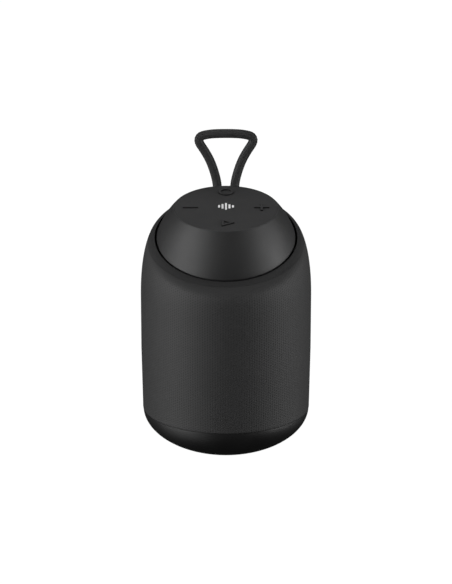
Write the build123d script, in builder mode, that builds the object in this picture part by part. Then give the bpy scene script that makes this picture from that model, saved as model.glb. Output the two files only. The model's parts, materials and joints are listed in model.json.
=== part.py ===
from build123d import *
import os
from math import cos, pi, radians, sin, tan

# Portable shower speaker: a fabric-covered drum on a rounded base, with a slanting shoulder, a tapered
# head that carries four raised symbol keys on its tilted top, and a cord loop to hang it by.
# Millimetres. +Z is up, the front faces -Y, and the origin is on the ground under the drum's axis.

# ---- driving dimensions ----
body_radius = 41.0          # fabric, at its widest
seam_height = 19.5          # joint between the base and the fabric
seam_radius = 40.3
bowl_depth = 21.3           # vertical half-axis of the base's elliptical side
foot_level = 0.5            # flat underside of the base; the rubber foot stands below it
waist_height = 50.0         # the fabric widens from the seam up to here
shoulder_start = 76.0       # the side is upright below this
loft_start = 64.0           # the one smooth face over the shoulder starts in the upright part
neck_height = 105.0         # centre of the slanting gap round the head
neck_tilt = 22.0
lip_radius = 34.5           # where the shoulder ends
gap_radius = 34.15          # outer edge of the gap
head_base_radius = 33.1     # inner edge of the gap
pad_height = 119.1          # centre of the tilted top
pad_tilt = 10.0
pad_radius = 25.1
flank_bulge = 0.7           # how far the head's flank swells out near its top
bulge_share = 0.72          # where it swells most, as a share of the way up from the gap
cord_diameter = 4.25
cord_spread = 8.35          # between the two strands where they leave the head

fabric_thickness = 0.9
cage_inset = 1.0            # from the fabric's face to the cage's outer face
cage_thickness = 1.6
shoulder_steps = 6
shoulder_fullness = 0.94    # under 1, the shoulder is fuller than an ellipse
collar_share = 0.92         # how far up the shoulder the collar begins
shell_wall = 2.0
fit_gap = 0.05              # between fixed neighbours
slide_gap = 0.1             # round a key

key_circle = 17.0           # radius of the circle that the keys lie on
key_shift = 0.45            # its centre lies behind the pad's
key_rise = 0.6
glyph_size = 7.0
stroke = 1.1
pad_thickness = 1.6
deck_depth = 3.3            # underside of the head's top deck
board_depth = 6.6           # upper face of the button board

box_bottom = 31.5
box_top = 80.0
box_radius = 36.5
box_flat = 27.0             # front and back faces of the acoustic box
box_wall = 2.2
driver_height = 56.0
lid_thickness = 2.0
main_board_height = 84.5
cell_radius = 9.2
cell_length = 65.0
cell_height = 19.5
port_height = 29.2
screw_radius = 1.0
wire_radius = 0.5


def leaning(height, tilt):
    """A plane across the body's axis whose front edge is lower than its back edge by the tilt."""
    return Plane(origin=(0, 0, height), x_dir=(1, 0, 0), z_dir=(0, -sin(radians(tilt)), cos(radians(tilt))))


def shoulder_plane(share, inset=0.0):
    """The plane of the shoulder's ring at a share of the way up, for a face set in by inset."""
    rise = neck_height - inset - shoulder_start
    return leaning(shoulder_start + rise * share, neck_tilt * share**2)


pad_plane = leaning(pad_height, pad_tilt)
neck_plane = leaning(neck_height, neck_tilt)
collar_plane = shoulder_plane(collar_share)
front_section = Plane(origin=(0, 0, driver_height), x_dir=(0, 1, 0), z_dir=(1, 0, 0))
driver_axis = Axis((0, 0, driver_height), (0, 1, 0))
front_face = Plane(origin=(0, 0, driver_height), x_dir=(1, 0, 0), z_dir=(0, -1, 0))
back_face = Plane(origin=(0, 0, driver_height), x_dir=(-1, 0, 0), z_dir=(0, 1, 0))
port_face = Plane(origin=(0, 0, port_height), x_dir=(-1, 0, 0), z_dir=(0, 1, 0))

os.makedirs("parts", exist_ok=True)


def write(part, name):
    part.label = name
    export_step(part, f"parts/{name}.step")


def turn(points, section=Plane.XZ, about=Axis.Z, mode=Mode.ADD):
    """Turn a closed outline about an axis, inside the part being built."""
    with BuildSketch(section) as outline:
        with BuildLine():
            Polyline(*points, close=True)
        make_face()
    revolve(outline.sketch, axis=about, mode=mode)


def ring(plane, low, high, outer, inner=0.0, mode=Mode.ADD):
    """A disc or a ring standing on a plane between two heights above it."""
    with BuildSketch(plane.offset(low)) as outline:
        Circle(outer)
        if inner > 0:
            Circle(inner, mode=Mode.SUBTRACT)
    extrude(outline.sketch, amount=high - low, dir=plane.z_dir, mode=mode)


def slab(plane, low, high, width, depth, corner=0.0, at=(0, 0), mode=Mode.ADD):
    """A rectangular plate on a plane between two heights above it."""
    with BuildSketch(plane.offset(low)) as outline:
        with Locations(at):
            if corner > 0:
                RectangleRounded(width, depth, corner)
            else:
                Rectangle(width, depth)
    extrude(outline.sketch, amount=high - low, dir=plane.z_dir, mode=mode)


def pins(plane, low, high, radius, places, mode=Mode.ADD):
    """Round pins or holes at several places on a plane."""
    with BuildSketch(plane.offset(low)) as outline:
        with Locations(*places):
            Circle(radius)
    extrude(outline.sketch, amount=high - low, dir=plane.z_dir, mode=mode)


def rim_edge(piece, plane):
    """The piece's edge that stands furthest along a plane's normal."""
    return piece.edges().sort_by(Axis(plane.origin, plane.z_dir))[-1]


def corners(x, y):
    return [(x, y), (-x, y), (-x, -y), (x, -y)]


def screw_set(plane, head, tip, places, head_radius=1.9, head_height=1.3):
    """Pan-head screws that all point the same way: heads at one level and tips at another."""
    step = 1 if tip > head else -1
    with BuildPart() as screws:
        pins(plane, head, head + step * head_height, head_radius, places)
        pins(plane, head + step * head_height, tip, screw_radius, places)
        pins(plane, head, head + step * 0.6, 0.75, places, mode=Mode.SUBTRACT)
    return screws.part


def wire_run(points, corner_radius, radius=wire_radius):
    """An insulated wire along straight runs joined by arcs."""
    with BuildPart() as run:
        with BuildLine():
            route = FilletPolyline(*points, radius=corner_radius)
        with BuildSketch(Plane(origin=route @ 0, z_dir=route % 0)):
            Circle(radius)
        sweep()
    return run.part


def body_form(inset, bottom):
    """The solid inside the fabric's face set in by inset: an upright drum under a slanting shoulder."""
    drum_radius = body_radius - inset
    hem_radius = seam_radius + 0.15 - inset
    with BuildPart() as form:
        turn([
            (0, bottom), (hem_radius, bottom), (hem_radius, seam_height + 1.0), (drum_radius, waist_height),
            (drum_radius, loft_start), (0, loft_start),
        ])
        for height in (loft_start, (loft_start + shoulder_start) / 2):
            with BuildSketch(Plane.XY.offset(height)):
                Circle(drum_radius)
        for step in range(shoulder_steps + 1):
            angle = radians(90 * step / shoulder_steps)
            with BuildSketch(shoulder_plane(sin(angle) ** shoulder_fullness, inset)):
                Circle(lip_radius + (drum_radius - lip_radius) * max(cos(angle), 0) ** shoulder_fullness)
        loft()
    return form.part


cage_inner_inset = cage_inset + cage_thickness
fabric_form = body_form(0, seam_height + 0.1)
fabric_lining = body_form(fabric_thickness, 0)
cage_form = body_form(cage_inset, seam_height + 0.2)
cage_hollow = body_form(cage_inner_inset, 0)

# ---- base ----

screw_posts = corners(5.0, 14.0)
floor_level = 1.7           # the rubber foot fills the recess below this
floor_top = 3.7

with BuildPart() as base_shell:
    with BuildSketch(Plane.XZ):
        with Locations((0, seam_height)):
            Ellipse(seam_radius, bowl_depth)
        with Locations((body_radius / 2, (seam_height + foot_level) / 2)):
            Rectangle(body_radius, seam_height - foot_level, mode=Mode.INTERSECT)
    revolve(axis=Axis.Z)
    with BuildSketch(Plane.XZ):
        with Locations((0, seam_height)):
            Ellipse(seam_radius - shell_wall, bowl_depth - shell_wall)
        with Locations((body_radius / 2, (seam_height + floor_top) / 2)):
            Rectangle(body_radius, seam_height - floor_top, mode=Mode.INTERSECT)
    revolve(axis=Axis.Z, mode=Mode.SUBTRACT)
    # ledge and spigot that the cage slips over, with a groove for the seal
    turn([
        (36.3, 17.4), (38.6, 17.4), (38.6, seam_height), (37.6, seam_height), (37.6, 20.2), (36.9, 20.2),
        (36.9, 21.7), (37.6, 21.7), (37.6, 22.6), (36.3, 22.6),
    ])
    ring(Plane.XY, foot_level, floor_level, 17.2, mode=Mode.SUBTRACT)
    pins(Plane.XY, floor_level, box_bottom - fit_gap, 2.8, screw_posts)
    pins(Plane.XY, floor_level, 3.3, 2.1, screw_posts, mode=Mode.SUBTRACT)
    pins(Plane.XY, floor_level, box_bottom, 1.2, screw_posts, mode=Mode.SUBTRACT)
write(base_shell.part, "base_shell")

with BuildPart() as foot_pad:
    ring(Plane.XY, 0, floor_level - fit_gap, 17.1)
    ring(Plane.XY, 0, 0.5, 13.0, 11.0, mode=Mode.SUBTRACT)
    fillet(foot_pad.edges().group_by(Axis.Z)[0].sort_by(SortBy.RADIUS)[-1], 0.3)
write(foot_pad.part, "foot_pad")

with BuildPart() as base_seal:
    turn([(36.95, 20.3), (37.8, 20.3), (37.8, 21.6), (36.95, 21.6)])
write(base_seal.part, "base_seal")

write(screw_set(Plane.XY, 1.8, 37.0, screw_posts), "base_screws")

# ---- battery, in the base ----

cell_plane = Plane(origin=(0, 0, cell_height), x_dir=(0, 1, 0), z_dir=(1, 0, 0))
with BuildPart() as battery_cell:
    ring(cell_plane, -cell_length / 2, cell_length / 2 - 1.2, cell_radius)
    ring(cell_plane, cell_length / 2 - 1.2, cell_length / 2, 3.2)
    fillet(battery_cell.edges().filter_by(GeomType.CIRCLE).group_by(Axis.X)[0], 0.6)
write(battery_cell.part, "battery_cell")

with BuildPart() as battery_cradle:
    slab(Plane.XY, 4.4, 6.0, 39.0, 20.0)
    for side in (-1, 1):
        slab(Plane.XY, 4.4, cell_height, 3.0, 20.8, at=(side * 18.0, 0))
    ring(cell_plane, -25, 25, cell_radius + 0.15, mode=Mode.SUBTRACT)
write(battery_cradle.part, "battery_cradle")

# ---- acoustic box ----

lid_bosses = corners(29.6, 15.0)
frame_posts = [(18.0, -22.0), (-18.0, -22.0), (-22.5, 22.5), (22.5, 22.5)]
driver_corners = corners(19.4, 19.4)
radiator_corners = corners(18.8, 18.8)


def box_outline(radius, flat, side):
    """Round drum section with flat front, back and inner sides."""
    Circle(radius)
    Rectangle(2 * side, 2 * flat, mode=Mode.INTERSECT)


with BuildPart() as acoustic_box:
    with BuildSketch(Plane.XY.offset(box_bottom)):
        box_outline(box_radius, box_flat, body_radius)
        with Locations((box_radius, 0)):
            Rectangle(4.0, 4.4, mode=Mode.SUBTRACT)
    extrude(amount=box_top - box_bottom)
    with BuildSketch(Plane.XY.offset(box_bottom + box_wall)):
        box_outline(box_radius - box_wall, box_flat - box_wall, 32.0)
    extrude(amount=box_top - box_bottom - box_wall, mode=Mode.SUBTRACT)
    pins(Plane.XY, 60.0, box_top, 2.6, lid_bosses)
    pins(Plane.XY, 66.0, box_top, screw_radius + fit_gap, lid_bosses, mode=Mode.SUBTRACT)
    pins(Plane.XY, box_bottom, 40.0, 2.8, screw_posts)
    pins(Plane.XY, box_bottom, 38.5, screw_radius + fit_gap, screw_posts, mode=Mode.SUBTRACT)
    ring(front_face, 20.0, 30.0, 20.4, mode=Mode.SUBTRACT)
    ring(back_face, 20.0, 30.0, 18.4, mode=Mode.SUBTRACT)
    pins(front_face, 23.2, box_flat, 2.2, driver_corners)
    pins(back_face, 23.2, box_flat, 2.2, radiator_corners)
    pins(front_face, 23.8, 30.0, screw_radius + fit_gap, driver_corners, mode=Mode.SUBTRACT)
    pins(back_face, 23.8, 30.0, screw_radius + fit_gap, radiator_corners, mode=Mode.SUBTRACT)
write(acoustic_box.part, "acoustic_box")

lid_top = box_top + 0.4 + lid_thickness
main_board_posts = corners(20.0, 10.0)
with BuildPart() as box_gasket:
    with BuildSketch(Plane.XY.offset(box_top)):
        box_outline(box_radius - 0.1, box_flat - 0.1, 34.4)
        with BuildSketch(mode=Mode.PRIVATE) as inside:
            box_outline(box_radius - box_wall + 0.1, box_flat - box_wall + 0.1, 32.1)
        add(inside.sketch, mode=Mode.SUBTRACT)
        with Locations(*lid_bosses):
            Circle(1.4, mode=Mode.SUBTRACT)
    extrude(amount=0.4)
write(box_gasket.part, "box_gasket")

with BuildPart() as box_lid:
    with BuildSketch(Plane.XY.offset(box_top + 0.4)):
        box_outline(box_radius, box_flat, body_radius)
        with Locations((box_radius, 0)):
            Rectangle(4.0, 4.4, mode=Mode.SUBTRACT)
    extrude(amount=lid_thickness)
    pins(Plane.XY, lid_top, main_board_height, 2.2, main_board_posts)
    pins(Plane.XY, box_top, main_board_height, screw_radius + fit_gap, main_board_posts, mode=Mode.SUBTRACT)
    pins(Plane.XY, box_top, lid_top, 1.2, lid_bosses + frame_posts, mode=Mode.SUBTRACT)
    pins(Plane.XY, box_top, lid_top, 3.2, [(0, -10)], mode=Mode.SUBTRACT)
write(box_lid.part, "box_lid")

write(screw_set(Plane.XY, lid_top + 1.3, 70.0, lid_bosses), "box_lid_screws")

# ---- driver, facing the front ----
# Outlines are (distance along Y, radius) pairs about the driver's axis.


def turn_driver(points, mode=Mode.ADD):
    turn(points, section=front_section, about=driver_axis, mode=mode)


def half_roll(middle, radius, thickness, foot, way):
    """A rubber half-roll ring about the driver's axis, bulging towards -Y or +Y as way says."""
    with BuildSketch(front_section) as outline:
        with Locations((foot, middle)):
            Circle(radius)
            Circle(radius - thickness, mode=Mode.SUBTRACT)
        with Locations((foot + way * radius, middle)):
            Rectangle(2 * radius, 2 * radius, mode=Mode.INTERSECT)
    revolve(outline.sketch, axis=driver_axis)


with BuildPart() as driver_gasket:
    slab(front_face, box_flat, box_flat + 0.5, 45.6, 45.6, corner=5)
    ring(front_face, box_flat, box_flat + 0.5, 20.6, mode=Mode.SUBTRACT)
    pins(front_face, box_flat, box_flat + 0.5, 1.4, driver_corners, mode=Mode.SUBTRACT)
write(driver_gasket.part, "driver_gasket")

with BuildPart() as driver_basket:
    slab(front_face, 27.5, 29.0, 46.0, 46.0, corner=5)
    ring(front_face, 27.5, 29.0, 18.9, mode=Mode.SUBTRACT)
    turn_driver([(-27.6, 19.1), (-27.6, 20.2), (-15.0, 15.6), (-14.0, 15.6), (-14.0, 7.6), (-15.0, 7.6), (-15.0, 14.5)])
    for quarter in range(4):
        window = front_face.rotated((0, 0, 45 + 90 * quarter))
        slab(window, 17.0, 25.0, 14.0, 10.0, at=(16.0, 0), mode=Mode.SUBTRACT)
    pins(front_face, 27.5, 29.0, 1.2, driver_corners, mode=Mode.SUBTRACT)
write(driver_basket.part, "driver_basket")

with BuildPart() as driver_front_plate:
    turn_driver([(-13.98, 7.2), (-13.98, 15.0), (-11.52, 15.0), (-11.52, 7.2)])
write(driver_front_plate.part, "driver_front_plate")

with BuildPart() as driver_magnet:
    turn_driver([(-11.5, 8.6), (-11.5, 16.0), (-6.5, 16.0), (-6.5, 8.6)])
write(driver_magnet.part, "driver_magnet")

with BuildPart() as driver_yoke:
    turn_driver([(-6.48, 0), (-13.98, 0), (-13.98, 5.9), (-6.48, 5.9), (-6.48, 15.0), (-4.0, 15.0), (-4.0, 0)])
write(driver_yoke.part, "driver_yoke")

with BuildPart() as driver_spider:
    turn_driver([
        (-17.5, 6.9), (-17.5, 8.5), (-16.9, 9.5), (-17.5, 10.5), (-16.9, 11.5), (-17.5, 12.5), (-17.5, 14.0),
        (-17.8, 14.0), (-17.8, 12.6), (-17.25, 11.5), (-17.8, 10.4), (-17.25, 9.5), (-17.8, 8.4), (-17.8, 6.9),
    ])
write(driver_spider.part, "driver_spider")

with BuildPart() as voice_coil:
    turn_driver([(-21.0, 6.2), (-21.0, 6.4), (-15.0, 6.4), (-15.0, 6.8), (-9.5, 6.8), (-9.5, 6.2)])
write(voice_coil.part, "voice_coil")

with BuildPart() as driver_cone:
    turn_driver([(-20.4, 6.42), (-28.4, 15.9), (-28.4, 17.0), (-29.0, 17.0), (-29.0, 15.6), (-21.0, 6.42)])
write(driver_cone.part, "driver_cone")

dome_radius = 13.3
with BuildPart() as dust_cap:
    with Locations((0, dome_radius - 25.65, driver_height)):
        Sphere(dome_radius)
        Sphere(dome_radius - 0.5, mode=Mode.SUBTRACT)
    slab(front_face, 22.75, 27.0, 30.0, 30.0, mode=Mode.INTERSECT)
write(dust_cap.part, "dust_cap")

with BuildPart() as driver_surround:
    half_roll(19.05, 1.95, 0.5, -29.05, -1)
    turn_driver([(-29.05, 20.5), (-29.05, 22.4), (-29.55, 22.4), (-29.55, 20.5)])
write(driver_surround.part, "driver_surround")

# ---- passive radiator, facing the back ----

with BuildPart() as radiator_gasket:
    slab(back_face, box_flat, box_flat + 0.5, 43.6, 43.6, corner=5)
    ring(back_face, box_flat, box_flat + 0.5, 18.6, mode=Mode.SUBTRACT)
    pins(back_face, box_flat, box_flat + 0.5, 1.4, radiator_corners, mode=Mode.SUBTRACT)
write(radiator_gasket.part, "radiator_gasket")

with BuildPart() as radiator_frame:
    slab(back_face, 27.5, 29.3, 44.0, 44.0, corner=5)
    ring(back_face, 27.5, 29.3, 18.3, mode=Mode.SUBTRACT)
    pins(back_face, 27.5, 29.3, 1.2, radiator_corners, mode=Mode.SUBTRACT)
write(radiator_frame.part, "radiator_frame")

with BuildPart() as radiator_surround:
    half_roll(16.2, 2.1, 0.6, 29.35, 1)
    turn_driver([(29.35, 17.7), (29.35, 20.6), (29.9, 20.6), (29.9, 17.7)])
write(radiator_surround.part, "radiator_surround")

with BuildPart() as radiator_plate:
    turn_driver([(28.7, 0), (28.7, 14.05), (30.3, 14.05), (30.3, 9.0), (29.6, 8.0), (29.6, 0)])
write(radiator_plate.part, "radiator_plate")

with BuildPart() as radiator_weight:
    turn_driver([(26.2, 0), (26.2, 8.0), (28.68, 8.0), (28.68, 0)])
write(radiator_weight.part, "radiator_weight")

with BuildPart() as speaker_screws:
    add(screw_set(front_face, 30.3, 24.2, driver_corners))
    add(screw_set(back_face, 30.6, 24.5, radiator_corners))
write(speaker_screws.part, "speaker_screws")

# ---- cage, fabric and collar ----

port_width, port_depth = 18.8, 12.4
neck_depth = 6.3            # how far the head's skirt reaches down inside the neck

with BuildPart() as grille_cage:
    add(cage_form)
    add(cage_hollow, mode=Mode.SUBTRACT)
    split(bisect_by=collar_plane.offset(-fit_gap), keep=Keep.BOTTOM)
    with BuildSketch(Plane.XZ.offset(-body_radius)) as slot:
        with Locations((0, 62.0)):
            SlotOverall(40.0, 3.2, rotation=90)
    slot_cut = extrude(amount=12.0, mode=Mode.PRIVATE)
    with PolarLocations(0, 24):
        add(slot_cut, mode=Mode.SUBTRACT)
    slab(port_face, 33.0, 42.0, port_width + 0.2, port_depth + 0.2, corner=2.6, mode=Mode.SUBTRACT)
    ring(neck_plane, -neck_depth, 3, gap_radius, mode=Mode.SUBTRACT)
write(grille_cage.part, "grille_cage")

with BuildPart() as fabric_sleeve:
    add(fabric_form)
    add(fabric_lining, mode=Mode.SUBTRACT)
    split(bisect_by=collar_plane.offset(-fit_gap), keep=Keep.BOTTOM)
    slab(port_face, 33.0, 42.0, port_width + 0.2, port_depth + 0.2, corner=2.6, mode=Mode.SUBTRACT)
    ring(neck_plane, -neck_depth, 3, gap_radius, mode=Mode.SUBTRACT)
write(fabric_sleeve.part, "fabric_sleeve")

with BuildPart() as sleeve_collar:
    add(fabric_form)
    add(cage_hollow, mode=Mode.SUBTRACT)
    split(bisect_by=collar_plane, keep=Keep.TOP)
    ring(neck_plane, -neck_depth, 3, gap_radius, mode=Mode.SUBTRACT)
write(sleeve_collar.part, "sleeve_collar")

# ---- neck frame, which ties the head to the acoustic box ----

head_bosses = [(28.3 * cos(radians(a)), 28.3 * sin(radians(a))) for a in (20, 160, 225, 315)]

with BuildPart() as neck_frame:
    ring(neck_plane, -9, -7, 33.2, 22.0)
    for x, y in frame_posts:
        top = neck_height - 8.0 / cos(radians(neck_tilt)) + y * tan(radians(neck_tilt))
        pins(Plane.XY, lid_top + fit_gap, top, 2.2, [(x, y)])
        pins(Plane.XY, lid_top, top - 0.8, screw_radius + fit_gap, [(x, y)], mode=Mode.SUBTRACT)
    pins(neck_plane, -10, -6, 1.2, head_bosses, mode=Mode.SUBTRACT)
write(neck_frame.part, "neck_frame")

write(screw_set(Plane.XY, box_top - 1.0, 86.5, frame_posts), "frame_screws")

# ---- head ----

key_places = {
    "volume_down_key": (-key_circle, key_shift),
    "volume_up_key": (key_circle, key_shift),
    "play_key": (0, key_shift - key_circle),
    "power_key": (0, key_shift + key_circle),
}
stem_places = dict(key_places, power_key=(0, key_circle))
board_posts = [(11.0 * cos(radians(a)), 11.0 * sin(radians(a))) for a in (45, 135, 225, 315)]

# The cord leaves the back of the head's flank leaning back, and the loop swings about the line
# through its two feet, just above the bushings.
exit_lean = 30.0
exit_direction = Vector(0, sin(radians(exit_lean)), cos(radians(exit_lean)))
exit_middle = Vector(0, 27.7, 120.3)
foot_height = 3.0
cord_exits = [
    Plane(origin=exit_middle + Vector(side * cord_spread / 2, 0, 0), x_dir=(1, 0, 0), z_dir=exit_direction)
    for side in (1, -1)
]
loop_foot = exit_middle + exit_direction * foot_height
half_loop = [
    (cord_spread / 2, loop_foot.Y, loop_foot.Z),
    (5.3, 29.7, 128.6),
    (7.4, 29.9, 134.6),
    (10.2, 30.0, 139.6),
    (13.1, 30.0, 144.0),
    (12.5, 30.0, 146.5),
    (9.9, 30.0, 147.6),
    (5.3, 30.0, 148.1),
]
loop_points = half_loop + [(-x, y, z) for x, y, z in reversed(half_loop)]

with BuildPart() as head_shell:
    with BuildSketch(pad_plane):
        Circle(pad_radius)
    above, below = bulge_share, 1 - bulge_share
    with BuildSketch(leaning(above * pad_height + below * neck_height, above * pad_tilt + below * neck_tilt)):
        Circle(above * pad_radius + below * head_base_radius + flank_bulge)
    with BuildSketch(neck_plane):
        Circle(head_base_radius)
    loft()
    ring(neck_plane, -neck_depth, 0, head_base_radius)
    with BuildSketch(pad_plane.offset(-deck_depth)):
        Circle(23.6)
    with BuildSketch(neck_plane):
        Circle(31.0)
    loft(mode=Mode.SUBTRACT)
    ring(neck_plane, -neck_depth, 0, 31.0, mode=Mode.SUBTRACT)
    pins(neck_plane, -neck_depth, -0.6, 2.8, head_bosses)
    pins(neck_plane, -neck_depth, -1.4, screw_radius + fit_gap, head_bosses, mode=Mode.SUBTRACT)
    fillet(rim_edge(head_shell, pad_plane), 0.3)
    ring(pad_plane, -pad_thickness - fit_gap, 2, pad_radius - 0.5, mode=Mode.SUBTRACT)
    pins(pad_plane, -5, 0, 5.3, key_places.values(), mode=Mode.SUBTRACT)
    pins(pad_plane, fit_gap - board_depth, -deck_depth, 2.0, board_posts)
    pins(pad_plane, -board_depth, -deck_depth - 0.5, screw_radius + fit_gap, board_posts, mode=Mode.SUBTRACT)
    for exit_plane in cord_exits:
        ring(exit_plane, -6, 4, 2.8, mode=Mode.SUBTRACT)
write(head_shell.part, "head_shell")

with BuildPart() as neck_gasket:
    ring(neck_plane, -6.95, -6.35, 32.9, 31.2)
write(neck_gasket.part, "neck_gasket")

write(screw_set(neck_plane, -10.4, -2.0, head_bosses), "head_screws")

# ---- keys: each is a raised symbol that stands through its own slot in the pad ----


triangle_reach = 3.95       # from the triangle's middle to a corner


def draw_glyph(name, grow=0.0):
    """The outer outline of one symbol, grown all round, in the sketch being drawn."""
    across, thick = glyph_size + 2 * grow, stroke + 2 * grow
    if name in ("volume_down_key", "volume_up_key"):
        Rectangle(across, thick)
    if name == "volume_up_key":
        Rectangle(thick, across)
    if name == "power_key":
        Circle(glyph_size / 2 + 0.1 + grow)
    if name == "play_key":
        RegularPolygon(triangle_reach + 2 * grow, 3)


def open_glyph(name):
    """Open the middle of the ring and of the triangle, in the sketch being drawn."""
    if name == "power_key":
        Circle(glyph_size / 2 + 0.1 - stroke, mode=Mode.SUBTRACT)
    if name == "play_key":
        RegularPolygon(triangle_reach - 1.8 * stroke, 3, mode=Mode.SUBTRACT)


def mark_bars(grow=0.0):
    """Five upright bars of a sound-level sign, grown all round, in the sketch being drawn."""
    for step, height in enumerate((3.0, 5.2, 7.4, 4.6, 2.6)):
        with Locations(((step - 2) * 1.65, 1.9)):
            SlotOverall(height + 2 * grow, 0.95 + 2 * grow, rotation=90)


with BuildPart() as control_pad:
    ring(pad_plane, -pad_thickness, 0, pad_radius - 0.55)
    fillet(rim_edge(control_pad, pad_plane), 0.15)
    for name, place in key_places.items():
        with BuildSketch(pad_plane.offset(-pad_thickness)):
            with Locations(place):
                draw_glyph(name, slide_gap)
        extrude(amount=pad_thickness + 1, mode=Mode.SUBTRACT)
    with BuildSketch(pad_plane.offset(-0.42)):
        mark_bars(0.02)
    extrude(amount=1, mode=Mode.SUBTRACT)
write(control_pad.part, "control_pad")

with BuildPart() as centre_mark:
    with BuildSketch(pad_plane.offset(-0.4)):
        mark_bars()
    extrude(amount=0.43)
write(centre_mark.part, "centre_mark")

for name, place in key_places.items():
    with BuildPart() as key:
        with BuildSketch(pad_plane.offset(-pad_thickness - 0.15)):
            with Locations(place):
                draw_glyph(name)
        extrude(amount=pad_thickness + 0.15)
        with BuildSketch(pad_plane):
            with Locations(place):
                draw_glyph(name)
                open_glyph(name)
        extrude(amount=key_rise)
        fillet(key.edges().group_by(Axis(pad_plane.origin, pad_plane.z_dir))[-1], 0.05)
        pins(pad_plane, -2.75, -pad_thickness - 0.15, 4.9, [place])
        pins(pad_plane, -4.65, -2.75, 1.4, [stem_places[name]])
    write(key.part, name)

with BuildPart() as button_board:
    ring(pad_plane, -board_depth - 1.2, -board_depth, 20.2)
    pins(pad_plane, -board_depth - 1.2, -board_depth, 1.1, board_posts, mode=Mode.SUBTRACT)
write(button_board.part, "button_board")

with BuildPart() as tact_switches:
    for place in stem_places.values():
        slab(pad_plane, fit_gap - board_depth, -5.5, 4.4, 4.4, corner=0.4, at=place)
    pins(pad_plane, -5.5, -5.15, 1.0, stem_places.values())
write(tact_switches.part, "tact_switches")

write(screw_set(pad_plane, -9.1, -4.6, board_posts, head_radius=1.5, head_height=1.2), "button_board_screws")

# ---- cord loop ----

with BuildPart() as cord_bushings:
    for exit_plane in cord_exits:
        ring(exit_plane, -3.0, 0.5, 2.75, cord_diameter / 2 + 0.15)
write(cord_bushings.part, "cord_bushings")

with BuildPart() as lanyard_tails:
    for exit_plane in cord_exits:
        ring(exit_plane, -8.5, 0.45, cord_diameter / 2)
write(lanyard_tails.part, "lanyard_tails")

with BuildPart() as cord_ferrules:
    for exit_plane in cord_exits:
        ring(exit_plane, -8.2, -5.0, 2.6, cord_diameter / 2 + 0.02)
write(cord_ferrules.part, "cord_ferrules")

loop_radii = []
for before, at, after in zip(loop_points, loop_points[1:], loop_points[2:]):
    run_in, run_out = Vector(*at) - Vector(*before), Vector(*after) - Vector(*at)
    half_turn = radians(run_in.get_angle(run_out) / 2)
    loop_radii.append(0.45 * min(run_in.length, run_out.length) / tan(half_turn))
print("loop radii", [round(r, 1) for r in loop_radii])

with BuildPart() as lanyard_loop:
    with BuildLine():
        loop_path = FilletPolyline(*loop_points, radius=loop_radii)
    with BuildSketch(Plane(origin=loop_path @ 0, z_dir=loop_path % 0)):
        Circle(cord_diameter / 2)
    sweep()
    with Locations(loop_points[0], loop_points[-1]):
        Sphere(cord_diameter / 2)
section_area = pi * cord_diameter**2 / 4
print("loop length", round(loop_path.length, 1), "volume", round(lanyard_loop.part.volume, 1),
      "of about", round(section_area * (loop_path.length + cord_diameter * 2 / 3), 1))
write(lanyard_loop.part, "lanyard_loop")

# ---- charging port, behind a hinged rubber flap at the back ----

flap_hinge_x = 7.7          # the flap's hinge lies this far from the middle, on -X
recess_floor = 33.0
mouth_step = 38.6

with BuildPart() as port_housing:
    slab(port_face, 31.8, 42.0, port_width, port_depth, corner=2.5)
    slab(port_face, mouth_step, 42.0, 16.0, 10.0, corner=1.6, mode=Mode.SUBTRACT)
    slab(port_face, recess_floor, 42.0, 14.2, 7.8, corner=1.2, mode=Mode.SUBTRACT)
    with BuildSketch(port_face.offset(30)):
        SlotOverall(9.3, 3.5)
    extrude(amount=4, mode=Mode.SUBTRACT)
    with BuildSketch(Plane.XY.offset(10)):
        Circle(body_radius - 0.02)
    extrude(amount=30, mode=Mode.INTERSECT)
    fillet(port_housing.faces().sort_by(Axis.Y)[-1].outer_wire().edges(), 0.3)
write(port_housing.part, "port_housing")

with BuildPart() as port_flap:
    slab(port_face, 38.8, 42.0, 2 * flap_hinge_x, 9.4, corner=1.4)
    with BuildSketch(Plane.XY.offset(10)):
        Circle(body_radius - 0.12)
    extrude(amount=30, mode=Mode.INTERSECT)
    fillet(port_flap.faces().sort_by(Axis.Y)[-1].edges(), 0.3)
    slab(port_face, 37.8, 38.9, 12.0, 6.2, corner=1.2)
write(port_flap.part, "port_flap")

with BuildPart() as usb_socket:
    with BuildSketch(port_face.offset(26.0)):
        SlotOverall(8.94, 3.26)
    extrude(amount=7.4)
    with BuildSketch(port_face.offset(26.6)):
        SlotOverall(8.34, 2.66)
    extrude(amount=7.4, mode=Mode.SUBTRACT)
    slab(port_face, 26.3, 32.4, 6.7, 0.7)
write(usb_socket.part, "usb_socket")

socket_bottom = port_height - 1.63
with BuildPart() as port_board:
    slab(Plane.XY, socket_bottom - 1.25, socket_bottom - fit_gap, 16.0, 9.5, at=(0, 26.9))
write(port_board.part, "port_board")

# ---- electronics on the lid ----

board_top = main_board_height + 1.2
with BuildPart() as main_board:
    with BuildSketch(Plane.XY.offset(main_board_height)):
        Circle(29.3)
        with Locations((0, 6)):
            Rectangle(60, 48, mode=Mode.INTERSECT)
    extrude(amount=1.2)
    pins(Plane.XY, main_board_height, board_top, 1.2, main_board_posts, mode=Mode.SUBTRACT)
write(main_board.part, "main_board")

write(screw_set(Plane.XY, board_top + 1.3, lid_top + 0.4, main_board_posts), "main_board_screws")

on_board = board_top + fit_gap
with BuildPart() as bluetooth_module:
    slab(Plane.XY, on_board, on_board + 0.8, 13.0, 18.0, at=(10.5, 13.5))
    slab(Plane.XY, on_board + 0.8, on_board + 2.2, 11.0, 12.0, at=(10.5, 11.0))
write(bluetooth_module.part, "bluetooth_module")

with BuildPart() as amplifier_chip:
    slab(Plane.XY, on_board, on_board + 1.0, 7.0, 7.0, at=(-8.0, 10.0))
write(amplifier_chip.part, "amplifier_chip")

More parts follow.
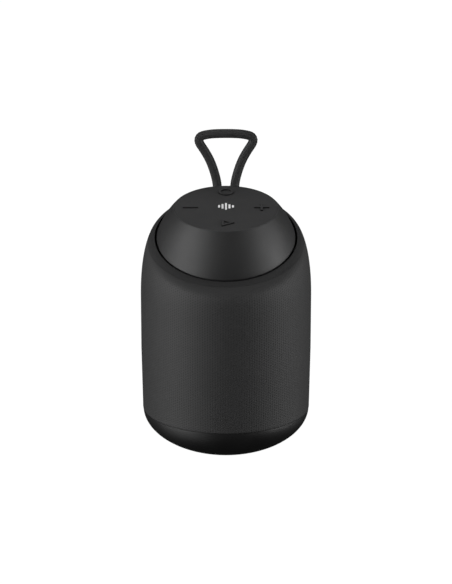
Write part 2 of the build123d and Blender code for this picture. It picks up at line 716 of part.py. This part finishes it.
with BuildPart() as capacitors:
    pins(Plane.XY, on_board, on_board + 5.5, 2.5, [(-18.0, 17.0), (-11.5, 21.0), (-16.0, 2.0)])
    fillet(capacitors.edges().group_by(Axis.Z)[-1], 0.4)
write(capacitors.part, "capacitors")

with BuildPart() as board_connectors:
    slab(Plane.XY, on_board, on_board + 3.0, 5.0, 6.0, at=(25.5, 0))
    slab(Plane.XY, on_board, on_board + 1.6, 10.0, 4.0, at=(0, -12.0))
write(board_connectors.part, "board_connectors")

# ---- wires ----

with BuildPart() as battery_leads:
    for y in (-0.9, 0.9):
        add(wire_run([
            (cell_length / 2 + 0.05, y, cell_height), (35.4, y, cell_height), (35.4, y, on_board + 1.5),
            (28.05, y, on_board + 1.5),
        ], 1.2))
write(battery_leads.part, "battery_leads")

with BuildPart() as driver_leads:
    for x in (-1.8, 1.8):
        add(wire_run([
            (x, -17.0, 73.0), (x, -17.0, 77.0), (x, -10.0, 78.5), (x, -10.0, main_board_height - fit_gap),
        ], 1.0))
write(driver_leads.part, "driver_leads")

with BuildPart() as port_leads:
    for side in (-1, 1):
        add(wire_run([
            (side * 7.0, 27.0, socket_bottom - 1.85), (side * 23.4, 28.3, socket_bottom - 1.85),
            (side * 23.4, 28.3, 83.3), (side * 15.0, 18.0, 83.3),
        ], 1.2))
write(port_leads.part, "port_leads")
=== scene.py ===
"""The looks of the shower speaker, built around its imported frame. Metres, +Z up, the front faces -Y."""

import json
from math import asin, cos, pi, radians, sin, tan

import bpy
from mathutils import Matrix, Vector


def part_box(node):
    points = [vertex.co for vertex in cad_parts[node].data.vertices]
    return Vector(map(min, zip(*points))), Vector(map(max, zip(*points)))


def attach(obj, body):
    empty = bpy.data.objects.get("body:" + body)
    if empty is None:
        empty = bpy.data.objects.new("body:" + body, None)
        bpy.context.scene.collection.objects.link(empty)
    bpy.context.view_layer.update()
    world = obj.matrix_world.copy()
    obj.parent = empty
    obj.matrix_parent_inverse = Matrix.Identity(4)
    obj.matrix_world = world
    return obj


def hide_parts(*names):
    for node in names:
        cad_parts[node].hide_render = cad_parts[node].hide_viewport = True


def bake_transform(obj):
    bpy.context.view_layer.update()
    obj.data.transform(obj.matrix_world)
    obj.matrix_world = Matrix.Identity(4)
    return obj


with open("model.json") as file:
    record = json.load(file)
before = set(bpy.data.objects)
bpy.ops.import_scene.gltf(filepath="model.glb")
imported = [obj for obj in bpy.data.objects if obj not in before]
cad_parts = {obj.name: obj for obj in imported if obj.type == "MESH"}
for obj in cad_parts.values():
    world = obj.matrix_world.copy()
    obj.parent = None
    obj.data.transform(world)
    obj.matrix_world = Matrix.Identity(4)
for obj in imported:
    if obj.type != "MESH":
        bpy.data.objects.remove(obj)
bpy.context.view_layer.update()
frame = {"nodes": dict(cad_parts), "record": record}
record = frame["record"]
scene = bpy.context.scene

MM = 0.001

# ---- driving sizes, as in the CAD model ----
BODY_RADIUS = 41.0 * MM
SEAM_RADIUS = 40.45 * MM        # of the sleeve's hem, a little proud of the base
WAIST_HEIGHT = 50.0 * MM
SHOULDER_START = 76.0 * MM
NECK_HEIGHT = 105.0 * MM
NECK_TILT = radians(22.0)
LIP_RADIUS = 34.5 * MM
PAD_TILT = radians(10.0)
SHOULDER_FULLNESS = 0.94        # under 1, the shoulder is fuller than an ellipse
COLLAR_SHARE = 0.92             # how far up the shoulder the collar begins
CORD_DIAMETER = 4.25 * MM
CORD_SPREAD = 8.35 * MM         # between the two strands where they leave the head
EXIT_LEAN = radians(30.0)
EXIT_MIDDLE = Vector((0, 27.7, 120.3)) * MM
EXIT_DIRECTION = Vector((0, sin(EXIT_LEAN), cos(EXIT_LEAN)))


# ---- camera ----

WATCHED = Vector((0, 0, 70 * MM))       # the camera and the lights look at this point
CAMERA_DISTANCE = 1.2
CAMERA_ELEVATION = radians(17.89)
CAMERA_TILT_UP = radians(0.327)         # the speaker stands a little below the middle of the picture
SENSOR_WIDTH, FOCAL_LENGTH = 36.0, 153.4    # in millimetres, as Blender has them


def make_camera():
    """A long lens, a little above the speaker and straight in front of it."""
    data = bpy.data.cameras.new("camera")
    data.sensor_width, data.lens = SENSOR_WIDTH, FOCAL_LENGTH
    data.clip_start, data.clip_end = 0.05, 20.0
    camera = bpy.data.objects.new("camera", data)
    away = Vector((0, -cos(CAMERA_ELEVATION), sin(CAMERA_ELEVATION)))
    camera.location = WATCHED + CAMERA_DISTANCE * away
    camera.rotation_euler = (radians(90) - CAMERA_ELEVATION + CAMERA_TILT_UP, 0, 0)
    scene.collection.objects.link(camera)
    scene.camera = camera


make_camera()


# ---- meshes ----

def new_mesh(name, points, faces, stitches=None):
    """A smooth mesh object, with the UV of each face's corners where it is given."""
    mesh = bpy.data.meshes.new(name)
    mesh.from_pydata(points, [], faces)
    if stitches:
        layer = mesh.uv_layers.new(name="stitches")
        for corner, place in enumerate(uv for face in stitches for uv in face):
            layer.data[corner].uv = place
    mesh.shade_smooth()
    piece = bpy.data.objects.new(name, mesh)
    scene.collection.objects.link(piece)
    return piece


def bake_modifiers(piece):
    """Turn a piece's modifiers into its mesh."""
    depsgraph = bpy.context.evaluated_depsgraph_get()
    mesh = bpy.data.meshes.new_from_object(piece.evaluated_get(depsgraph), depsgraph=depsgraph)
    piece.modifiers.clear()
    piece.data = mesh


def turn_basis(direction, side):
    """A unit vector across a direction, as near to side as it can be, and the one square to both."""
    across = (side - direction * side.dot(direction)).normalized()
    return across, direction.cross(across)


# ---- cord ----

BRAID_STRANDS = 12              # in each of the two directions
BRAID_ANGLE = radians(50)       # between a strand and the cord
BRAID_WAVE = 0.14 * MM          # how far a strand rises and dips as it crosses the others
STRAND_HALF_THICKNESS = 0.18 * MM
STRAND_HALF_WIDTH = 0.39 * MM
STRAND_SIDES = 6
STRAND_SHIFT = 0.37             # keeps the yarn of two strands from looking alike
CORE_SIDES = 16
RING_STEP = 0.25 * MM
CORE_FIT = 0.7                  # of a strand's half thickness, from the lowest strand's middle to the core
TAIL_PLACES = (-7.0 * MM, -2.5 * MM)    # along the exit direction, inside the head

LOOP_FOOT = EXIT_MIDDLE + EXIT_DIRECTION * 3 * MM
# The spline's control points from the loop's foot to the middle of its top, on the +X side.
HALF_ROUTE = [Vector(point) * MM for point in (
    (5.5, 29.7, 128.6),
    (7.6, 29.9, 134.6),
    (10.4, 30.0, 139.7),
    (13.4, 30.0, 144.1),
    (12.7, 30.0, 146.7),
    (9.9, 30.0, 147.6),
    (5.2, 30.0, 148.2),
)]


def cord_route():
    """From inside one bushing, round the loop and back into the other."""
    half = [EXIT_MIDDLE + EXIT_DIRECTION * along for along in TAIL_PLACES] + [LOOP_FOOT]
    for point in half:
        point.x = CORD_SPREAD / 2
    half += HALF_ROUTE
    return half + [Vector((-point.x, point.y, point.z)) for point in reversed(half)]


def smooth_line(points):
    """Points along the NURBS spline that has these control points, evenly spaced."""
    curve = bpy.data.curves.new("route", "CURVE")
    curve.dimensions = "3D"
    curve.resolution_u = 24
    spline = curve.splines.new("NURBS")
    spline.points.add(len(points) - 1)
    for control, point in zip(spline.points, points):
        control.co = (*point, 1)
    spline.order_u = 3
    spline.use_endpoint_u = True
    holder = bpy.data.objects.new("route", curve)
    mesh = bpy.data.meshes.new_from_object(holder)
    dense = [vertex.co.copy() for vertex in mesh.vertices]
    bpy.data.objects.remove(holder)
    travelled = [0.0]
    for before, after in zip(dense, dense[1:]):
        travelled.append(travelled[-1] + (after - before).length)
    count = round(travelled[-1] / RING_STEP)
    line, at = [], 0
    for step in range(count + 1):
        wanted = travelled[-1] * step / count
        while at < len(dense) - 2 and travelled[at + 1] < wanted:
            at += 1
        span = travelled[at + 1] - travelled[at]
        line.append(dense[at].lerp(dense[at + 1], (wanted - travelled[at]) / span))
    return line, travelled[-1]


def line_frames(line):
    """At each point of a line, two vectors across it that don't twist."""
    frames = []
    side = Vector((0, 1, 0))
    for before, after in zip([line[0]] + line[:-1], line[1:] + [line[-1]]):
        direction = (after - before).normalized()
        side, up = turn_basis(direction, side)
        frames.append((side, up))
    return frames


def round_turns(count):
    """Angles spread evenly round a circle."""
    return [2 * pi * k / count for k in range(count)]


def braid_cord():
    """A hollow braid over a core: strands wind both ways, each over two and under two of the others."""
    line, length = smooth_line(cord_route())
    frames = line_frames(line)
    radius = CORD_DIAMETER / 2 - STRAND_HALF_THICKNESS
    angle_per_length = tan(BRAID_ANGLE) / radius
    step = length / (len(line) - 1)
    travelled = [row * step / MM for row in range(len(line))]
    points, faces, places = [], [], []

    def add_tube(rings, shift=0.0):
        """Join rings of points, one after another, into a tube with closed ends."""
        first, sides = len(points), len(rings[0])
        along = [place + shift for place in travelled]
        for ring in rings:
            points.extend(ring)
        for row in range(len(rings) - 1):
            for k in range(sides):
                a, b = first + row * sides + k, first + row * sides + (k + 1) % sides
                faces.append((a, b, b + sides, a + sides))
                places.append([(along[row], k / sides), (along[row], (k + 1) / sides),
                               (along[row + 1], (k + 1) / sides), (along[row + 1], k / sides)])
        for row, order in ((0, -1), (len(rings) - 1, 1)):
            faces.append([first + row * sides + k for k in range(sides)][::order])
            places.append([(along[row], 0.5)] * sides)

    for way in (1, -1):
        lean = way * BRAID_ANGLE
        for strand in range(BRAID_STRANDS):
            rings = []
            for row, (centre, (side, up)) in enumerate(zip(line, frames)):
                turned = way * angle_per_length * row * step
                angle = 2 * pi * strand / BRAID_STRANDS + turned
                crossing = 2 * strand + turned * BRAID_STRANDS / pi - 0.5
                height = radius + way * BRAID_WAVE * cos(crossing * pi / 2)
                outward = side * cos(angle) + up * sin(angle)
                ahead = side.cross(up)
                across = outward.cross(ahead) * cos(lean) + ahead * sin(lean)
                rings.append([
                    centre + outward * (height + STRAND_HALF_THICKNESS * sin(turn))
                    + across * STRAND_HALF_WIDTH * cos(turn)
                    for turn in round_turns(STRAND_SIDES)
                ])
            add_tube(rings, strand * STRAND_SHIFT)
    core = radius - BRAID_WAVE - CORE_FIT * STRAND_HALF_THICKNESS
    add_tube([
        [centre + (side * cos(turn) + up * sin(turn)) * core for turn in round_turns(CORE_SIDES)]
        for centre, (side, up) in zip(line, frames)
    ])
    cord = new_mesh("braided_cord", points, faces, places)
    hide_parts("lanyard_loop", "lanyard_tails")
    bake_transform(cord)
    return cord


# ---- fabric sleeve ----

SLEEVE_COLUMNS = 192
STITCH_COLUMNS = 210            # round the drum: an even number, so that the half steps close
STITCH_HEIGHT = 1.26 * MM
FABRIC_THICKNESS = 0.9 * MM
HEM_BAND = 1.0 * MM             # upright, above the seam
WAIST_STEPS, DRUM_STEPS, SHOULDER_STEPS = 8, 7, 26
COLLAR_TURN = asin(COLLAR_SHARE ** (1 / SHOULDER_FULLNESS))
PORT_GAP, PORT_CORNER = 0.1 * MM, 2.6 * MM
CORNER_STEPS = 8
EDGE_ROUNDING = 0.2 * MM


def shoulder_ring(turn):
    """Height, radius and tilt of the shoulder's ring at a turn from the drum (0) to the lip (pi / 2)."""
    share = sin(turn) ** SHOULDER_FULLNESS
    height = SHOULDER_START + (NECK_HEIGHT - SHOULDER_START) * share
    radius = LIP_RADIUS + (BODY_RADIUS - LIP_RADIUS) * cos(turn) ** SHOULDER_FULLNESS
    return height, radius, NECK_TILT * share**2


def sleeve_rings():
    """The sleeve's rings from the hem up to the collar, as (height, radius, tilt)."""
    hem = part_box("fabric_sleeve")[0].z
    flare = hem + HEM_BAND
    rings = [(hem, SEAM_RADIUS, 0.0), (flare, SEAM_RADIUS, 0.0)]
    for step in range(1, WAIST_STEPS + 1):
        share = step / WAIST_STEPS
        radius = SEAM_RADIUS + (BODY_RADIUS - SEAM_RADIUS) * share
        rings.append((flare + (WAIST_HEIGHT - flare) * share, radius, 0.0))
    for step in range(1, DRUM_STEPS):
        rings.append((WAIST_HEIGHT + (SHOULDER_START - WAIST_HEIGHT) * step / DRUM_STEPS, BODY_RADIUS, 0.0))
    return rings + [shoulder_ring(COLLAR_TURN * step / SHOULDER_STEPS) for step in range(SHOULDER_STEPS + 1)]


def ring_point(ring, turn):
    """A point of a tilted ring: turn 0 is at the back, and it goes round by +X."""
    height, radius, tilt = ring
    x, y = radius * sin(turn), radius * cos(turn)
    return Vector((x, y * cos(tilt), height + y * sin(tilt)))


def cut_port(sleeve):
    """Open the cloth round the port's housing, and round off all its cut edges."""
    low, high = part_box("port_housing")
    middle = (low.z + high.z) / 2
    half_width, half_height = (high.x - low.x) / 2 + PORT_GAP, (high.z - low.z) / 2 + PORT_GAP
    outline = []
    for quarter, (side, top) in enumerate(((1, 1), (-1, 1), (-1, -1), (1, -1))):
        for step in range(CORNER_STEPS + 1):
            turn = pi / 2 * (quarter + step / CORNER_STEPS)
            outline.append((side * (half_width - PORT_CORNER) + PORT_CORNER * cos(turn),
                            middle + top * (half_height - PORT_CORNER) + PORT_CORNER * sin(turn)))
    count = len(outline)
    points = [(x, y, z) for y in (low.y, BODY_RADIUS + 5 * MM) for x, z in outline]
    sides = [(k, (k + 1) % count, count + (k + 1) % count, count + k) for k in range(count)]
    ends = [tuple(range(count))[::-1], tuple(range(count, 2 * count))]
    cutter = new_mesh("port_cutter", points, sides + ends)
    opening = sleeve.modifiers.new("port", "BOOLEAN")
    opening.object, opening.operation, opening.solver = cutter, "DIFFERENCE", "EXACT"
    edges = sleeve.modifiers.new("edges", "BEVEL")
    edges.width, edges.segments = EDGE_ROUNDING, 2
    edges.limit_method, edges.angle_limit = "ANGLE", radians(50)
    bake_modifiers(sleeve)
    bpy.data.objects.remove(cutter)


def make_sleeve():
    """The knitted sleeve: one smooth tube of cloth with an opening for the port."""
    rings = sleeve_rings()
    columns = SLEEVE_COLUMNS
    grid = [[ring_point(ring, 2 * pi * column / columns) for column in range(columns)] for ring in rings]
    rise = [[0.0] * columns]
    for lower, upper in zip(grid, grid[1:]):
        rise.append([done + (b - a).length for done, a, b in zip(rise[-1], lower, upper)])
    points = [point for row in grid for point in row]
    faces, places = [], []
    for row in range(len(rings) - 1):
        for column in range(columns):
            beside = (column + 1) % columns
            a, b = row * columns + column, row * columns + beside
            faces.append((b, a, a + columns, b + columns))
            left, right = (STITCH_COLUMNS * c / columns for c in (column, column + 1))
            ends = ((right, beside), (left, column))
            places.append([
                (across, rise[ring][line] / STITCH_HEIGHT)
                for ring, pair in ((row, ends), (row + 1, ends[::-1])) for across, line in pair
            ])
    sleeve = new_mesh("knit_sleeve", points, faces, places)
    shell = sleeve.modifiers.new("cloth", "SOLIDIFY")
    shell.thickness, shell.offset, shell.use_even_offset = FABRIC_THICKNESS, -1, True
    bake_modifiers(sleeve)
    cut_port(sleeve)
    return sleeve


cord = braid_cord()
sleeve = make_sleeve()
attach(sleeve, "speaker")
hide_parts("fabric_sleeve")


# ---- materials ----

class Shader:
    """A material's nodes, made by short calls. A value is a number, a colour or another node's output."""

    def __init__(self, name, colour, roughness):
        self.material = bpy.data.materials.new(name)
        self.material.use_nodes = True
        self.tree = self.material.node_tree
        self.surface = self.tree.nodes["Principled BSDF"]
        self.place = self.add("ShaderNodeTexCoord").outputs["Object"]
        self.stitches = self.add("ShaderNodeUVMap", uv_map="stitches").outputs["UV"]
        self.set("Base Color", (*colour, 1))
        self.set("Roughness", roughness)

    def feed(self, socket, value):
        if isinstance(value, bpy.types.NodeSocket):
            self.tree.links.new(value, socket)
        else:
            socket.default_value = value

    def set(self, name, value):
        self.feed(self.surface.inputs[name], value)

    def add(self, kind, values=(), **settings):
        node = self.tree.nodes.new(kind)
        for name, setting in settings.items():
            setattr(node, name, setting)
        for name, value in dict(values).items():
            self.feed(node.inputs[name], value)
        return node

    def math(self, operation, *values):
        node = self.add("ShaderNodeMath", operation=operation)
        for socket, value in zip(node.inputs, values):
            self.feed(socket, value)
        return node.outputs[0]

    def noise(self, size, detail, stretch=(1, 1, 1)):
        """Cloudy values round 0.5 whose patches are about as large as size."""
        scaled = self.add("ShaderNodeVectorMath", operation="MULTIPLY")
        self.feed(scaled.inputs[0], self.place)
        scaled.inputs[1].default_value = stretch
        values = {"Vector": scaled.outputs[0], "Scale": 1 / size, "Detail": detail}
        return self.add("ShaderNodeTexNoise", values).outputs["Fac"]

    def between(self, value, low, high, start=0.0, end=1.0):
        """Values from start to end, spread from low to high and held there."""
        values = {"Value": value, "From Min": start, "From Max": end, "To Min": low, "To Max": high}
        return self.add("ShaderNodeMapRange", values).outputs["Result"]

    def vary(self, noise, low, high):
        """Values from low to high, by a noise whose own values are mostly from 0.3 to 0.7."""
        return self.between(noise, low, high, 0.3, 0.7)

    def shade(self, colour, amount):
        """The colour, darker or lighter by an amount that varies over the surface."""
        node = self.add("ShaderNodeVectorMath", operation="SCALE")
        node.inputs[0].default_value = colour
        self.feed(node.inputs["Scale"], amount)
        self.set("Base Color", node.outputs[0])

    def bump(self, height, depth):
        """Relief whose full height is depth, in metres."""
        values = {"Height": height, "Distance": depth, "Strength": 1.0}
        self.set("Normal", self.add("ShaderNodeBump", values).outputs["Normal"])


def moulded(name, colour, roughness, grain=0.25 * MM, relief=0.004 * MM, specular=0.5):
    """Moulded plastic or rubber: a fine even grain, with faint clouds in its shade and gloss."""
    made = Shader(name, colour, roughness)
    cloud = made.noise(14 * MM, detail=4)
    made.shade(colour, made.vary(cloud, 0.93, 1.07))
    fine = made.noise(grain, detail=3)
    uneven = made.math("ADD", made.vary(cloud, -0.03, 0.03), made.vary(fine, -0.04, 0.04))
    made.set("Roughness", made.math("ADD", uneven, roughness))
    made.set("Specular IOR Level", specular)
    made.bump(fine, relief)
    return made


def metal(name, colour, roughness, drawn=(1, 1, 1)):
    """Bare or plated metal with fine marks, drawn out along the axes where drawn is under 1."""
    made = Shader(name, colour, roughness)
    marks = made.noise(0.2 * MM, detail=3, stretch=drawn)
    made.shade(colour, made.between(marks, 0.88, 1.05, 0.25, 0.75))
    made.set("Metallic", 1.0)
    made.set("Roughness", made.between(marks, roughness - 0.06, roughness + 0.08, 0.25, 0.75))
    made.bump(marks, 0.003 * MM)
    return made


RIB_STRENGTH, COURSE_STRENGTH = 1.1, 0.9    # of the upright ribs and the staggered courses in the weave
EYELET_EDGE, EYELET_HEART = 0.3, 1.8        # the weave's height at an eyelet's rim and deep in it
DRAWN_AND_SHADED_BAND = 2.6 * MM, 0.1 * MM             # below the collar's edge, from loose cloth to flat, with painted shade growing towards the edge


def knit(name, colour):
    """Fine knitted cloth: eyelets between raised stitches, drawn flat under the collar, with painted shade in
    the eyelets and under the collar.
    """
    made = Shader(name, colour, 0.7)
    split = made.add("ShaderNodeSeparateXYZ", {"Vector": made.stitches})
    column, course = split.outputs["X"], split.outputs["Y"]
    upright_ribs = made.math("COSINE", made.math("MULTIPLY", column, 2 * pi))
    half_step = made.math("MULTIPLY", made.math("ADD", course, made.math("MULTIPLY", column, 0.5)), 2 * pi)
    weave = made.math("ADD", made.math("MULTIPLY", upright_ribs, RIB_STRENGTH),
                      made.math("MULTIPLY", made.math("COSINE", half_step), COURSE_STRENGTH))
    top, _, tilt = shoulder_ring(COLLAR_TURN)
    upright = Vector((0, -sin(tilt), cos(tilt)))
    height_on_collar = made.add("ShaderNodeVectorMath", operation="DOT_PRODUCT")
    made.feed(height_on_collar.inputs[0], made.place)
    height_on_collar.inputs[1].default_value = upright
    flat_from, flat_to = (upright.z * top - below for below in DRAWN_AND_SHADED_BAND)
    loose = made.between(height_on_collar.outputs["Value"], 1.0, 0.0, flat_from, flat_to)
    eyelet = made.math("MULTIPLY", made.between(weave, 0.0, 1.0, EYELET_EDGE, EYELET_HEART), loose)
    fibre = made.noise(0.12 * MM, detail=3)
    cloud = made.noise(9 * MM, detail=3)
    # painted shade: the eyelets are darkened as recesses in shade; the clouds are the cloth's own uneven tone
    lit = made.math("MULTIPLY", made.between(eyelet, 1.04, 0.55), made.vary(cloud, 0.94, 1.06))
    # painted shade towards the collar's edge, where the cloth meets the collar
    drawn = made.math("MULTIPLY", lit, made.between(loose, 0.85, 1.0))
    made.shade(colour, made.math("MULTIPLY", drawn, made.vary(fibre, 0.85, 1.15)))
    made.bump(made.math("SUBTRACT", made.math("MULTIPLY", fibre, 0.25), eyelet), 0.07 * MM)
    made.set("Specular IOR Level", 0.5)
    made.set("Roughness", made.math("ADD", made.between(loose, 0.2, 0.0), made.between(eyelet, 0.68, 0.82)))
    return made


FILAMENTS = 14                  # that show round a strand


def braid(name, colour):
    """Polyester yarn: fine filaments along each strand, with painted shade between the filaments and at the
    strand's dipping edges, and painted light on its top.
    """
    made = Shader(name, colour, 0.6)
    split = made.add("ShaderNodeSeparateXYZ", {"Vector": made.stitches})
    round_strand = made.math("MULTIPLY", split.outputs["Y"], 2 * pi)
    edge = made.math("ABSOLUTE", made.math("COSINE", round_strand))
    filaments = made.math("SINE", made.math("MULTIPLY", round_strand, FILAMENTS))
    fuzz = made.noise(0.15 * MM, detail=3)
    height = made.math("ADD", made.math("MULTIPLY", filaments, 0.3), fuzz)
    # painted shade in the grooves between the raised filaments, mixed with the fuzz's uneven tone
    lit = made.between(height, 0.8, 1.25, 0.1, 1.0)
    # painted shade at the strand's edges and painted light along its top, from 0.15 to 1.5 times the colour
    made.shade(colour, made.math("MULTIPLY", lit, made.between(edge, 1.5, 0.15)))
    made.bump(height, 0.02 * MM)
    made.set("Specular IOR Level", 0.4)
    made.set("Roughness", made.between(edge, 0.55, 0.85))
    return made


def pad_skin(name, colour):
    """The pad's matt rubber, with painted shade that makes the side walls of its signs much darker."""
    made = moulded(name, colour, 0.8, grain=0.18 * MM, specular=0.28)
    upward = made.add("ShaderNodeVectorMath", operation="DOT_PRODUCT")
    made.feed(upward.inputs[0], made.add("ShaderNodeNewGeometry").outputs["True Normal"])
    upward.inputs[1].default_value = (0, -sin(PAD_TILT), cos(PAD_TILT))
    # painted shade: faces turned away from the pad's top are darkened, down to a tenth of the colour
    made.shade(colour, made.between(upward.outputs["Value"], 0.1, 1.0, 0.5, 0.95))
    return made


TRACKS_PER_METRE = 220.0
WIRE_PITCH = 0.2 * MM


def circuit(name, colour):
    """Solder mask over copper tracks, which show as slightly raised and lighter lines."""
    made = Shader(name, colour, 0.35)
    tracks = made.add("ShaderNodeTexBrick", {
        "Vector": made.place, "Scale": TRACKS_PER_METRE, "Color1": (1, 1, 1, 1), "Color2": (1, 1, 1, 1),
        "Mortar": (0, 0, 0, 1), "Mortar Size": 0.03,
    }).outputs["Color"]
    made.shade(colour, made.between(tracks, 1.5, 1.0))
    made.bump(tracks, 0.01 * MM)
    return made


def winding(name, colour):
    """Enamelled copper wire, wound in fine turns along Y."""
    made = Shader(name, colour, 0.3)
    split = made.add("ShaderNodeSeparateXYZ", {"Vector": made.place})
    turns = made.math("SINE", made.math("MULTIPLY", split.outputs["Y"], 2 * pi / WIRE_PITCH))
    # painted shade between the turns and painted light on their crowns
    made.shade(colour, made.between(turns, 0.7, 1.1, -1.0, 1.0))
    made.set("Metallic", 1.0)
    made.bump(turns, 0.05 * MM)
    return made


HEAD_BLACK = (0.008, 0.008, 0.0083)
PAD_BLACK = (0.026, 0.026, 0.0265)
BASE_BLACK = (0.0022, 0.0022, 0.0023)
CLOTH_BLACK = (0.0135, 0.0135, 0.0137)
INNER_BLACK = (0.012, 0.012, 0.012)

MATERIALS = {
    "head_plastic": lambda name: moulded(name, HEAD_BLACK, 0.6),
    "pad_rubber": lambda name: pad_skin(name, PAD_BLACK),
    "base_plastic": lambda name: moulded(name, BASE_BLACK, 0.5, relief=0.002 * MM),
    "collar_plastic": lambda name: moulded(name, (0.012, 0.012, 0.0123), 0.7, specular=0.3),
    "port_plastic": lambda name: moulded(name, (0.016, 0.016, 0.0165), 0.5),
    "flap_rubber": lambda name: moulded(name, (0.022, 0.022, 0.0225), 0.68, specular=0.35),
    "foot_rubber": lambda name: moulded(name, (0.018, 0.018, 0.018), 0.8, grain=0.4 * MM, relief=0.02 * MM),
    "bushing_rubber": lambda name: moulded(name, (0.014, 0.014, 0.014), 0.7),
    "seal_rubber": lambda name: moulded(name, (0.05, 0.05, 0.05), 0.6),
    "inner_plastic": lambda name: moulded(name, INNER_BLACK, 0.6, grain=0.5 * MM, relief=0.01 * MM),
    "radiator_plastic": lambda name: moulded(name, INNER_BLACK, 0.5),
    "surround_rubber": lambda name: moulded(name, INNER_BLACK, 0.55),
    "cone_paper": lambda name: moulded(name, (0.02, 0.02, 0.02), 0.75, grain=0.8 * MM, relief=0.03 * MM),
    "spider_cloth": lambda name: moulded(name, (0.40, 0.25, 0.10), 0.8, grain=0.5 * MM, relief=0.05 * MM),
    "mark_white": lambda name: moulded(name, (0.72, 0.72, 0.72), 0.45, relief=0.001 * MM),
    "switch_black": lambda name: moulded(name, (0.02, 0.02, 0.02), 0.4),
    "chip_black": lambda name: moulded(name, (0.015, 0.015, 0.015), 0.55, relief=0.01 * MM),
    "connector_white": lambda name: moulded(name, (0.72, 0.68, 0.58), 0.4),
    "wire_insulation": lambda name: moulded(name, (0.35, 0.015, 0.012), 0.4),
    "cell_can": lambda name: moulded(name, (0.03, 0.14, 0.30), 0.3, grain=2 * MM, relief=0.02 * MM),
    "magnet_ferrite": lambda name: moulded(name, (0.05, 0.05, 0.052), 0.65, grain=0.3 * MM, relief=0.02 * MM),
    "screw_steel": lambda name: metal(name, (0.55, 0.55, 0.56), 0.32),
    "basket_steel": lambda name: metal(name, (0.45, 0.45, 0.46), 0.4),
    "weight_steel": lambda name: metal(name, (0.50, 0.49, 0.47), 0.35, drawn=(1, 1, 0.1)),
    "ferrule_aluminium": lambda name: metal(name, (0.75, 0.75, 0.76), 0.35),
    "socket_steel": lambda name: metal(name, (0.60, 0.60, 0.61), 0.28, drawn=(1, 0.1, 1)),
    "module_shield": lambda name: metal(name, (0.70, 0.70, 0.69), 0.3, drawn=(0.1, 1, 1)),
    "capacitor_can": lambda name: metal(name, (0.75, 0.75, 0.77), 0.3, drawn=(1, 1, 0.1)),
    "coil_copper": lambda name: winding(name, (0.60, 0.26, 0.12)),
    "board_green": lambda name: circuit(name, (0.010, 0.070, 0.030)),
    "sleeve_fabric": lambda name: knit(name, CLOTH_BLACK),
    "cord_braid": lambda name: braid(name, (0.0135, 0.0135, 0.0138)),
}
finish_of = {slot: make(slot).material for slot, make in MATERIALS.items()}
for subpart in record["subparts"]:
    slots = frame["nodes"][subpart["node"]].data.materials
    slots.clear()
    slots.append(finish_of[subpart["material_slot"]])
cord.data.materials.append(finish_of["cord_braid"])
sleeve.data.materials.append(finish_of["sleeve_fabric"])


# ---- floor and light ----

def make_floor():
    """A white sheet just under the speaker, which the speaker neither reflects nor darkens."""
    mesh = bpy.data.meshes.new("floor")
    half, level = 4.0, -0.05 * MM
    corners = [(-half, -half, level), (half, -half, level), (half, half, level), (-half, half, level)]
    mesh.from_pydata(corners, [], [(0, 1, 2, 3)])
    floor = bpy.data.objects.new("floor", mesh)
    scene.collection.objects.link(floor)
    floor.visible_glossy = False
    floor.visible_diffuse = False
    floor.visible_shadow = False
    material = bpy.data.materials.new("floor")
    material.use_nodes = True
    surface = material.node_tree.nodes["Principled BSDF"]
    surface.inputs["Base Color"].default_value = (0.02, 0.02, 0.02, 1)
    surface.inputs["Roughness"].default_value = 0.9
    surface.inputs["Emission Color"].default_value = (1, 1, 1, 1)
    surface.inputs["Emission Strength"].default_value = 1.0
    mesh.materials.append(material)


LIGHT_DISTANCE = 1.2
ROOM_ABOVE, ROOM_BELOW = 0.05, 0.005    # how bright the room is for the speaker, over it and under it


def make_light(name, azimuth, elevation, size, watts):
    """A soft box that looks at the speaker. Azimuth 0 is in front, 90 on the right."""
    data = bpy.data.lights.new(name, "AREA")
    data.shape = "RECTANGLE"
    data.size, data.size_y = size
    data.energy = watts
    light = bpy.data.objects.new(name, data)
    turn, rise = radians(azimuth), radians(elevation)
    away = Vector((sin(turn) * cos(rise), -cos(turn) * cos(rise), sin(rise)))
    light.location = WATCHED + away * LIGHT_DISTANCE
    light.rotation_euler = (-away).to_track_quat("-Z", "Y").to_euler()
    light.visible_camera = False
    scene.collection.objects.link(light)


def make_world():
    """White where the camera looks past the speaker, and for its light a dim room over a dark floor."""
    world = bpy.data.worlds.new("studio")
    world.use_nodes = True
    nodes, links = world.node_tree.nodes, world.node_tree.links
    split = nodes.new("ShaderNodeSeparateXYZ")
    links.new(nodes.new("ShaderNodeTexCoord").outputs["Generated"], split.inputs["Vector"])
    room = nodes.new("ShaderNodeMapRange")
    room.inputs["From Min"].default_value, room.inputs["From Max"].default_value = -0.1, 0.4
    room.inputs["To Min"].default_value, room.inputs["To Max"].default_value = ROOM_BELOW, ROOM_ABOVE
    links.new(split.outputs["Z"], room.inputs["Value"])
    level = nodes.new("ShaderNodeMapRange")
    level.inputs["To Max"].default_value = 1.0
    links.new(nodes.new("ShaderNodeLightPath").outputs["Is Camera Ray"], level.inputs["Value"])
    links.new(room.outputs["Result"], level.inputs["To Min"])
    links.new(level.outputs["Result"], nodes["Background"].inputs["Strength"])
    nodes["Background"].inputs["Color"].default_value = (1, 1, 1, 1)
    scene.world = world


make_floor()
make_world()
make_light("left_box", -65, 12, (0.8, 1.2), 21)
make_light("right_box", 78, 7, (0.7, 1.2), 17)
make_light("top_box", 180, 72, (0.8, 0.8), 5.2)
make_light("low_left_box", -62, -38, (0.9, 0.6), 2.0)
scene.view_settings.view_transform = "Standard"
